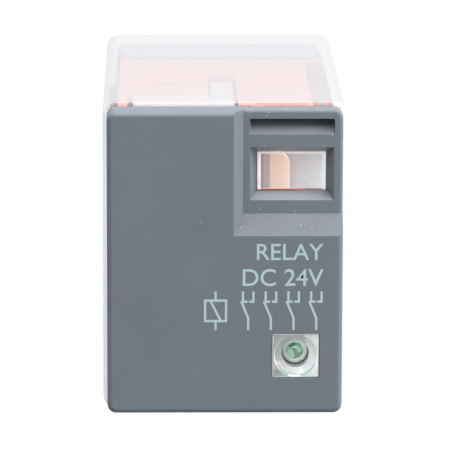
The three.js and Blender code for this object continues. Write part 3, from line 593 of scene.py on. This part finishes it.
def soften(o, width=0.08, segments=3, angle=34.0, normals=True):
    w = o.modifiers.new("weld", "WELD")
    w.merge_threshold = 2e-7
    b = o.modifiers.new("bevel", "BEVEL")
    b.width = width * MM
    b.segments = segments
    b.limit_method = "ANGLE"
    b.angle_limit = math.radians(angle)
    b.harden_normals = False
    b.use_clamp_overlap = True
    b.miter_outer = "MITER_ARC"
    if normals:
        n = o.modifiers.new("normals", "WEIGHTED_NORMAL")
        n.keep_sharp = False
        n.weight = 80
    o.data.polygons.foreach_set("use_smooth", [True] * len(o.data.polygons))
    return o


def paint(o, m):
    o.data.materials.clear()
    o.data.materials.append(m)
    return o


def piece(o, body, mat, slot=None, *nodes):
    paint(o, mat)
    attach(o, body)
    if nodes:
        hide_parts(*nodes)
    return o


def keep(names, mat, width=0.06, segments=2, angle=32.0):
    for n in names:
        o = NODES[n]
        paint(o, mat)
        soften(o, width, segments, angle)


# ------------------------------------------------------------------- face cap
Y_BACK = -37.05
CAP_W, CAP_H, CAP_R, CAP_EDGE = 20.22, 26.4, 0.75, 0.45
PEGS = [(-8.0, 10.9), (-8.0, -10.9), (1.7, -11.0), (8.2, -3.0)]
WIN = (5.75, 7.63, 5.85, 3.25)
RX0, RX1, RZ0, RZ1 = 0.73, 1.56, 2.45, 4.16  # side wall and ramp of the recess
SLOT = (2.12, 9.4, 11.03, 12.42)
LED_X, LED_Z = 6.1, -8.1

cap = block("cap_body", CAP_W, CAP_H, CAP_R, -40.0, Y_BACK, CAP_EDGE, steps=6)
low = block("cap_low", CAP_W + 0.02, CAP_H + 0.02, CAP_R, -38.7, Y_BACK + 1, 0.3, steps=5)
gx, gz = (RX1 - RX0) / 1.3, (RZ1 - RZ0) / 1.3
wedge = hexa("wedge", (RX1 - 2.3 * gx, 16, RZ1 - 2.3 * gz, 18), (RX1 + 0.3 * gx, 16, RZ1 + 0.3 * gz, 18), -41.0, -38.4)
boolean(wedge, low)
boolean(cap, wedge)
fw, fz = WIN[2] / 2 + 0.06, WIN[3] / 2 + 0.06
k = 0.62 / 1.65


def win_ring(y):
    d = max(0.0, (Y_BACK - y) * k)
    return (WIN[0] - fw - d, WIN[0] + fw + d, WIN[1] - fz - d, WIN[1] + fz + d)


boolean(cap, hexa("funnel", win_ring(-40.0), win_ring(Y_BACK), -40.0, Y_BACK))
boolean(cap, hexa("throat", win_ring(Y_BACK), win_ring(Y_BACK), Y_BACK - 0.05, -36.0))
pocket = new_object(
    "pocket",
    [(x, y, z) for x in SLOT[:2] for y, z in ((-39.7, SLOT[3]), (-37.35, SLOT[3]), (-38.7, SLOT[2]), (-39.7, SLOT[2]))],
    [(0, 1, 2, 3), (7, 6, 5, 4)] + [(i, 4 + i, 4 + (i + 1) % 4, (i + 1) % 4) for i in range(4)],
    smooth=False,
)
soften(pocket, 0.12, 2, normals=False)
applied(pocket)
boolean(cap, pocket)
boolean(cap, block("led_hole", 4.14, 3.95, 0.18, -42, -30, 0.0, LED_X, LED_Z, seg=3, steps=1))
for box in ((-9.2, 0.1, -12.2, 12.2), (0.05, 3.3, -12.2, 1.0), (3.25, 9.2, -5.4, 1.0), (3.25, 9.2, -12.2, -11.2)):
    boolean(cap, hexa("hollow", box, box, -38.85, -30))
soften(cap, 0.09, 3, 30)
piece(cap, "housing", GREY, "cap_grey", "face_cap")
# the ramp and the floor of the pocket have a coarser moulded texture; the funnel's top and bottom walls are smoother
# and painted lighter, which is painted light
cap.data.materials.append(GREY_COARSE)
cap.data.materials.append(GREY_SMOOTH_PAINTED_LIGHT)
for f in cap.data.polygons:
    c, n = f.center / MM, f.normal
    on_ramp = n.y < -0.3 and n.z > 0.3 and abs(n.x) < 0.3 and c.x > 0.4 and RZ0 - 0.1 < c.z < RZ1 + 0.1
    on_pocket = n.y < -0.3 and n.z > 0.3 and abs(n.x) < 0.3 and c.z > SLOT[2] - 0.1 and c.y > -38.75
    in_funnel = abs(c.x - WIN[0]) < 3.75 and abs(c.z - WIN[1]) < 2.42 and c.y > -38.68 and abs(n.z) > 0.6
    if on_ramp or on_pocket:
        f.material_index = 1
    elif in_funnel:
        f.material_index = 2
for i, (x, z) in enumerate(PEGS):
    y0 = -38.86 if i < 3 else -38.0
    peg = lathe(f"cap_peg_{i + 1}", [(0, y0), (0.7, y0), (0.7, -36.05), (0.6, -35.95), (0, -35.95)], "y", x, z, 24)
    piece(peg, "housing", GREY, "cap_grey")

# --------------------------------------------------------------- clear cover
def cover_mesh():
    seg, rings = 8, []
    w, h, r, e = 21.0, 27.0, 1.1, 0.5
    inner_w, inner_h, inner_r = w - 1.8, h - 1.8, 0.6
    # inside, from its front wall back to the rim, then the outside forward to the front
    for t in np.linspace(0, math.pi / 2, 5):
        d = 0.35 * (1 - math.sin(t))
        rings.append([(x, -36.1 + 0.35 * (1 - math.cos(t)), z) for x, z in rrect(inner_w - 2 * d, inner_h - 2 * d, inner_r, 0, 0, seg)])
    rings.append([(x, -0.36, z) for x, z in rrect(inner_w, inner_h, inner_r, 0, 0, seg)])
    rings.append([(x, -0.3, z) for x, z in rrect(inner_w + 0.1, inner_h + 0.1, inner_r, 0, 0, seg)])
    rings.append([(x, -0.3, z) for x, z in rrect(w - 0.2, h - 0.2, r - 0.1, 0, 0, seg)])
    for y in (-0.4, -32.1, -35.9):
        rings.append([(x, y, z) for x, z in rrect(w, h, r, 0, 0, seg)])
    for t in np.linspace(0, math.pi / 2, 7):
        d = e * (1 - math.cos(t))
        rings.append([(x, -37.0 + e - e * math.sin(t), z) for x, z in rrect(w - 2 * d, h - 2 * d, r - d, 0, 0, seg)])
    return loft("cover_shell", rings)


cover = cover_mesh()
pad = block("pad", WIN[2] + 0.04, WIN[3] + 0.04, 0.1, -37.35, -36.7, 0.12, WIN[0], WIN[1], seg=4, steps=3)
boolean(cover, pad, "UNION")
boolean(cover, block("hole", 4.14, 3.95, 0.18, -42, -30, 0.0, LED_X, LED_Z, seg=3, steps=1))
for x, z in PEGS:
    boolean(cover, lathe("h", [(0, -40), (0.76, -40), (0.76, -30), (0, -30)], "y", x, z, 24))
for s in (-1, 1):
    for z in (-7, 7):
        boolean(cover, hexa("latch", (s * 10.6 - 1.3, s * 10.6 + 1.3, z - 2, z + 2), (s * 10.6 - 1.3, s * 10.6 + 1.3, z - 2, z + 2), -3.7, -1.7))
soften(cover, 0.06, 2, 40)
piece(cover, "housing", CLEAR, "clear_polycarbonate", "clear_cover")
for m_ in (PAD_PAINTED_GLOW, PAD_EDGE_PAINTED_GLOW, RIM, ROUNDING, PAD_FOOT_PAINTED_REFLECTION, STRIP, TOP):
    cover.data.materials.append(m_)
# painted light: the window pad glows, lighter towards the right; its edges glow white, and its underside glows orange
# as a painted reflection of the shelf below
for f in cover.data.polygons:
    c, n = f.center / MM, f.normal
    if c.y < -37.03 and abs(c.x - WIN[0]) < 3.1 and abs(c.z - WIN[1]) < 1.8:
        f.material_index = 1 if n.y < -0.9 and abs(c.x - WIN[0]) < WIN[2] / 2 - 0.15 and abs(c.z - WIN[1]) < WIN[3] / 2 - 0.15 else 5 if n.z < -0.2 else 2
    elif c.y < -36.6 and abs(c.x) > 10.0 and abs(c.z) < 12.9:
        f.material_index = 3
    elif c.y < -36.45 and (abs(c.x) > 10.0 or abs(c.z) > 12.9):
        f.material_index = 4
    elif c.z > 13.45 and -35.9 < c.y < -32.1:
        f.material_index = 6
    elif c.z > 13.45 and c.y > -32.1:
        f.material_index = 7
# painted highlight: a thin glowing frame on the raised pad's front stands for its bright edge
painted_highlight_frame = block("pad_painted_highlight_frame", WIN[2] + 0.02, WIN[3] + 0.02, 0.06, -37.375, -37.33, 0.015, WIN[0], WIN[1], seg=4, steps=1)
boolean(painted_highlight_frame, block("pad_painted_highlight_frame_hole", WIN[2] - 0.56, WIN[3] + 0.3, 0.12, -38.0, -37.0, 0.0, WIN[0], WIN[1] - 0.26, seg=4, steps=1))
piece(painted_highlight_frame, "housing", PAD_EDGE_PAINTED_GLOW, "clear_polycarbonate")

# ------------------------------------------------------------------- LED lens
lens = block("lens_body", 3.98, 3.79, 0.12, -39.85, -35.5, 0.06, LED_X, LED_Z, seg=4, steps=2)
boolean(lens, block("lens_flange", 5.0, 5.0, 0.3, -36.05, -35.45, 0.05, LED_X, LED_Z, seg=4, steps=2), "UNION")
boolean(
    lens,
    lathe(
        "dish",
        [(0, -42), (1.86, -42), (1.86, -39.8), (1.785, -39.64), (1.72, -39.5), (1.5, -39.32), (1.3, -39.25), (1.17, -39.2), (1.17, -34), (0, -34)],
        "y",
        LED_X,
        LED_Z,
        56,
    ),
)
soften(lens, 0.05, 2, 34)
piece(lens, "housing", LENS_PAINTED_GLOW, "lens_clear", "led_lens")
for m_ in (BORE_PAINTED_SHADE, PAD_EDGE_PAINTED_GLOW, GLINT):
    lens.data.materials.append(m_)
# painted light: the bore wall is painted dark for its shade, the lens's rounded front edge glows white, and thin green
# glints are painted at the dish's lower corners
for f in lens.data.polygons:
    c, n = f.center / MM, f.normal
    dx_, dz_ = c.x - LED_X, c.z - LED_Z
    r_ = math.hypot(dx_, dz_)
    if r_ < 1.32 and (n.x * dx_ + n.z * dz_) < -0.7 * r_:
        f.material_index = 1
    elif 1.78 < r_ < 1.87 and -39.84 < c.y < -39.6 and (-76 < math.degrees(math.atan2(dz_, dx_)) < -24 or -152 < math.degrees(math.atan2(dz_, dx_)) < -110):
        f.material_index = 3
    elif c.y < -39.7 and n.y > -0.95 and r_ > 1.8:
        f.material_index = 2

# ------------------------------------------------------------------------ LED
prof = [(0, -39.05)]
for i in range(1, 11):
    t = math.pi / 2 * i / 10
    prof.append((1.05 * math.sin(t), -38.05 - math.cos(t)))
prof += [(1.05, -35.4), (1.08, -35.35), (1.2, -35.33), (1.2, -34.98), (1.15, -34.95), (0, -34.95)]
led = lathe("led_dome", prof, "y", LED_X, LED_Z, 40)
piece(led, "housing", LED_EPOXY, "led_green", "led")
led.data.materials.append(LED_RIM_PAINTED_GLOW)
# painted glow: the dome's front rim round the die takes the glowing rim material
for f in led.data.polygons:
    c = f.center / MM
    if math.hypot(c.x - LED_X, c.z - LED_Z) > 0.93 and c.y < -37.8:
        f.material_index = 1
# the lead frame inside the dome: a pale ring round a green well with the two halves standing in it; the ring, the well
# and the halves glow (painted glow)
RING_N = 48
_rv, _rf = [], []
for y_ in (-38.16, -38.02):
    for r_, ox_, oz_ in ((0.99, 0.0, 0.0), (0.72, -0.01, 0.03)):
        _rv += [(LED_X + ox_ + r_ * math.cos(2 * math.pi * i / RING_N), y_, LED_Z + oz_ + r_ * math.sin(2 * math.pi * i / RING_N)) for i in range(RING_N)]
for i in range(RING_N):
    j = (i + 1) % RING_N
    a_, b_, c_, d_ = 0, RING_N, 2 * RING_N, 3 * RING_N
    _rf += [(a_ + i, a_ + j, b_ + j, b_ + i), (c_ + i, d_ + i, d_ + j, c_ + j), (a_ + i, c_ + i, c_ + j, a_ + j), (b_ + i, b_ + j, d_ + j, d_ + i)]
piece(new_object("led_ring", _rv, _rf, smooth=False), "housing", LED_RIM_PAINTED_GLOW, "led_green")
well = lathe("led_well", [(0, -38.0), (0.62, -38.0), (0.7, -37.95), (0.74, -37.85), (0.74, -35.4), (0, -35.4)], "y", LED_X - 0.01, LED_Z + 0.03, 40)
piece(well, "housing", LED_WELL, "led_green")
for name, cx, cz, w_, h_ in (("led_cup", -0.4, -0.13, 0.54, 1.02), ("led_anvil", 0.33, 0.31, 0.54, 0.84)):
    o = block(name, w_, h_, 0.24, -38.3, -37.9, 0.12, 0.0, 0.0, seg=5, steps=4)
    o.data.transform(Matrix.Translation(Vector((LED_X + cx, 0, LED_Z + cz)) * MM) @ Matrix.Rotation(math.radians(-28), 4, "Y"))
    piece(o, "housing", LED_CHIP, "led_green")
for name, dz in (("led_anode_lead", 0.6), ("led_cathode_lead", -0.6)):
    o = tube(name + "_wire", [(LED_X, -34.94, LED_Z + dz), (LED_X, -34.5, LED_Z + dz), (LED_X + 0.5, -33.9, LED_Z + dz), (7.55, -33.0, LED_Z + dz), (7.98, -32.2, LED_Z + dz), (7.98, -30.8, LED_Z + dz)], 0.17, 10, 40)
    piece(o, "housing", TIN, "tinned_brass", name)

# ------------------------------------------------- pieces kept from the frame
keep(["pin_base"], BASE_PAINTED_SHADE, 0.12, 3)
keep(["contact_cage"], SALMON, 0.12, 3)
keep(["contact_carrier"], NYLON, 0.1, 2)
# painted shade: the lip of the slot is coloured darker, and moulded rougher, for the shade on it
LIP_PAINTED_SHADE = moulded("salmon_lip_painted_shade", srgb(190, 112, 100), rough=0.6, grain=5200.0, depth=0.02, vary=0.08)
NODES["contact_cage"].data.materials.append(LIP_PAINTED_SHADE)
for f in NODES["contact_cage"].data.polygons:
    c, n = f.center / MM, f.normal
    if abs(c.x) < 1.4 and -15.75 < c.y < -14.8 and n.y < -0.4 and n.z > 0.4:
        f.material_index = 1
keep(["coil_bobbin"], SALMON, 0.1, 2)
keep(["yoke", "armature_plate"], IRON, 0.08, 2)
keep([n for n in NODES if n.startswith("terminal_")], TIN, 0.06, 2)
keep([n for n in NODES if n.startswith("moving_spring_")], BRONZE, 0.03, 1)
keep(["indicator_flag"], FLAG_PAINTED_GLOW, 0.08, 3)
keep(["led_board"], PCB, 0.05, 1)
keep(["led_resistor"], CHIP, 0.06, 2)

# ---------------------------------------------------------------- round parts
COIL_Z = -4.9
core = lathe(
    "core_turned",
    [(0, -30.0), (3.65, -30.0), (3.9, -29.85), (3.9, -29.1), (2.5, -29.1), (2.5, -8.25), (1.45, -8.25), (1.45, -6.95), (2.0, -6.95), (1.9, -6.75), (1.6, -6.65), (0, -6.65)],
    "y", 0, COIL_Z, 48,
)
soften(core, 0.08, 2, 34)
piece(core, "housing", IRON, "soft_iron", "core")
winding = lathe("winding_turned", [(3.2, -27.95), (5.3, -27.95), (5.5, -27.8), (5.55, -27.5), (5.55, -9.95), (5.5, -9.65), (5.3, -9.5), (3.2, -9.5)], "y", 0, COIL_Z, 64, closed=True)
piece(winding, "housing", WINDING, "enamelled_copper", "coil_winding")
tape = lathe("tape_turned", [(5.6, -27.0), (5.75, -27.0), (5.75, -10.4), (5.6, -10.4)], "y", 0, COIL_Z, 64, closed=True)
soften(tape, 0.03, 1, 34)
piece(tape, "housing", TAPE, "coil_tape", "coil_tape")
for name, s in (("coil_lead_left", -1), ("coil_lead_right", 1)):
    o = tube(name + "_wire", [(s * 4.3, -9.8, -9.1), (s * 5.4, -9.75, -10.0), (s * 5.9, -9.3, -10.25), (s * 5.9, -8.3, -10.25), (s * 6.25, -7.7, -9.6), (s * 6.6, -7.5, -8.3)], 0.13, 8, 48)
    piece(o, "housing", COPPER, "enamelled_copper", name)
wire = tube("jumper_sleeve", [(7.95, -6.4, -10.0), (7.5, -6.0, -10.9), (5.5, -5.8, -11.2), (0, -5.8, -11.35), (-5.0, -5.8, -11.0), (-6.4, -5.9, -10.3), (-6.6, -6.3, -8.5)], 0.29, 14, 80)
piece(wire, "housing", SLEEVE, "wire_sleeve", "led_jumper_wire")
diode = lathe("diode_body", [(0, -15.6), (0.3, -15.6), (0.42, -15.45), (0.42, -12.55), (0.3, -12.4), (0, -12.4)], "y", 7.78, COIL_Z - 4.4, 24)
piece(diode, "housing", DIODE, "diode_glass", "led_diode")

POLES = (-6.6, -2.2, 2.2, 6.6)
T = 0.25


def rivet(name, x, y, z, head, up_):
    s = 1 if up_ else -1
    prof = [(0, T + head), (0.55, T + head - 0.01), (0.75, T + head - 0.05), (0.87, T + head - 0.14), (0.9, T + head - 0.24), (0.9, T + 0.01), (0.44, T + 0.01), (0.44, -T - 0.01), (0.72, -T - 0.01), (0.66, -T - 0.12), (0.5, -T - 0.19), (0, -T - 0.2)]
    return lathe(name, [(r, z + s * h) for r, h in prof], "z", x, y, 32)


# the armature's rest pose is 3 degrees open about the knife edge
HINGE = Vector((0, -30.05, 2.2)) * MM
OPEN = Matrix.Translation(HINGE) @ Matrix.Rotation(math.radians(-3.0), 4, "X") @ Matrix.Translation(-HINGE)
for i, x in enumerate(POLES):
    n = i + 1
    piece(rivet(f"nc_rivet_{n}", x, -9.98, 4.8, 0.64, True), "housing", SILVER, "contact_silver", f"contact_nc_{n}")
    piece(rivet(f"no_rivet_{n}", x, -9.98, 8.9, 0.68, False), "housing", SILVER, "contact_silver", f"contact_no_{n}")
    prof = [(0, 0.55), (0.55, 0.54), (0.75, 0.5), (0.88, 0.38), (0.9, 0.3), (0.9, 0.11), (0.44, 0.11), (0.44, -0.11), (0.9, -0.11), (0.9, -0.3), (0.88, -0.38), (0.75, -0.5), (0.55, -0.54), (0, -0.55)]
    b = lathe(f"moving_button_{n}", [(r, h + 7.38) for r, h in prof], "z", x, -10.1, 32)
    b.data.transform(OPEN)
    piece(b, "armature", SILVER, "contact_silver", f"moving_contact_{n}")
    br = tube(f"braid_strands_{n}", [(x, -12.7, 4.33), (x, -14.0, 4.33), (x, -15.8, 4.2), (x, -18.2, 4.45), (x, -20.3, 5.5), (x, -21.9, 6.3), (x, -23.4, 6.42)], 0.38, 16, 60)
    paint(br, BRAID)
    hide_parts(f"braid_{n}")
    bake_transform(br)

# return spring: a finer coil than the frame's, in the same place
pts = [(0, -32.0, 3.7), (0, -31.8, 4.15), (0, -31.3, 4.3), (0, -29.8, 4.3)]
turns = 9
for i in range(turns * 20 + 1):
    t = 2 * math.pi * i / 20
    f = min(1, i / 6, (turns * 20 - i) / 6)
    pts.append((0.78 * math.sin(t) * min(1, i / 2 + 0.5), -29.4 + 10.0 * i / (turns * 20), 4.3 + 0.78 * math.cos(t) * f))
pts += [(0, -19.1, 4.3), (0, -18.0, 4.3), (0, -17.6, 4.15), (0, -17.4, 3.7)]
spring = tube("return_coil", pts, 0.13, 8, 560)
paint(spring, WIRE)
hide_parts("return_spring")
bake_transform(spring)

# ---------------------------------------------------------------------- print
INK_Y = -40.0


def strokes(name, lines, width, y=INK_Y, thick=0.012):
    """Flat strokes of one width, each a polyline in X and Z."""
    verts, faces = [], []
    for line in lines:
        for (x0, z0), (x1, z1) in zip(line[:-1], line[1:]):
            d = Vector((x1 - x0, z1 - z0))
            if d.length < 1e-6:
                continue
            d.normalize()
            n = Vector((-d.y, d.x)) * width / 2
            e = d * width / 2
            base = len(verts)
            quad = [(x0 - e.x + n.x, z0 - e.y + n.y), (x1 + e.x + n.x, z1 + e.y + n.y), (x1 + e.x - n.x, z1 + e.y - n.y), (x0 - e.x - n.x, z0 - e.y - n.y)]
            lift = thick + 0.0004 * (base // 8)
            verts += [(px, y - lift, pz) for px, pz in quad] + [(px, y + 0.004, pz) for px, pz in quad]
            b = base
            faces += [(b, b + 1, b + 2, b + 3), (b + 7, b + 6, b + 5, b + 4), (b, b + 4, b + 5, b + 1), (b + 1, b + 5, b + 6, b + 2), (b + 2, b + 6, b + 7, b + 3), (b + 3, b + 7, b + 4, b)]
    me = bpy.data.meshes.new(name)
    me.from_pydata([tuple(c * MM for c in v) for v in verts], [], faces)
    me.update()
    o = bpy.data.objects.new(name, me)
    SC.collection.objects.link(o)
    return o


def lettering(name, text, x_right, z_base, height, squeeze=1.0, bold=0.005):
    c = bpy.data.curves.new(name, "FONT")
    c.body = text
    c.size = 1.0
    c.align_x = "RIGHT"
    c.extrude = 0.006
    c.offset = bold
    c.resolution_u = 6
    o = bpy.data.objects.new(name, c)
    SC.collection.objects.link(o)
    bpy.context.view_layer.update()
    me = bpy.data.meshes.new_from_object(o.evaluated_get(bpy.context.evaluated_depsgraph_get()))
    bpy.data.objects.remove(o)
    co = np.zeros(len(me.vertices) * 3)
    me.vertices.foreach_get("co", co)
    co = co.reshape(-1, 3)
    x1, y0, y1 = co[:, 0].max(), co[:, 1].min(), co[:, 1].max()
    s = height / (y1 - y0)
    out = np.stack([(co[:, 0] - x1) * s * squeeze + x_right, co[:, 2] * 1.0 + INK_Y - 0.003, (co[:, 1] - y0) * s + z_base], 1) * MM
    me.vertices.foreach_set("co", out.ravel())
    me.update()
    ob = bpy.data.objects.new(name, me)
    SC.collection.objects.link(ob)
    return ob


piece(lettering("word_relay", "RELAY", 8.45, 0.36, 1.42, 1.0), "housing", INK, "cap_grey")
piece(lettering("rating_dc24v", "DC 24V", 8.45, -1.93, 1.5, 1.0), "housing", INK, "cap_grey")
# generic circuit symbols: a coil, then changeover contacts
lines = [[(-1.7, -5.0), (-1.7, -3.2), (0.1, -3.2), (0.1, -5.0), (-1.7, -5.0)], [(-1.25, -3.2), (-0.35, -5.0)], [(-0.8, -2.5), (-0.8, -3.2)], [(-0.8, -5.0), (-0.8, -5.7)]]
for k_ in range(4):
    x = 1.55 + k_ * 1.95
    lines += [[(x + 0.45, -5.7), (x + 0.45, -4.75), (x - 0.12, -3.35)], [(x, -2.5), (x, -3.3), (x + 0.28, -3.3)], [(x + 0.9, -2.5), (x + 0.9, -3.3), (x + 0.62, -3.3)]]
piece(strokes("circuit_symbols", lines, 0.2), "housing", INK, "cap_grey")

# ---------------------------------------------------------------------- floor
floor = new_object("floor", [(-3000, -3000, -13.52), (3000, -3000, -13.52), (3000, 3000, -13.52), (-3000, 3000, -13.52)], [(0, 1, 2, 3)], smooth=False)
floor.visible_diffuse = False
floor.visible_glossy = False
FLOOR = material("floor_paper", (0.05, 0.05, 0.05, 1), 0.9)
_f = noise(FLOOR, coords(FLOOR), 60.0, 3.0)
link(FLOOR, ramp(FLOOR, _f, [(0.3, (0.04, 0.04, 0.04, 1)), (0.7, (0.06, 0.06, 0.06, 1))]), bsdf(FLOOR).inputs["Base Color"])
bsdf(FLOOR).inputs["Emission Color"].default_value = (1, 1, 1, 1)
bsdf(FLOOR).inputs["Emission Strength"].default_value = 0.96
paint(floor, FLOOR)
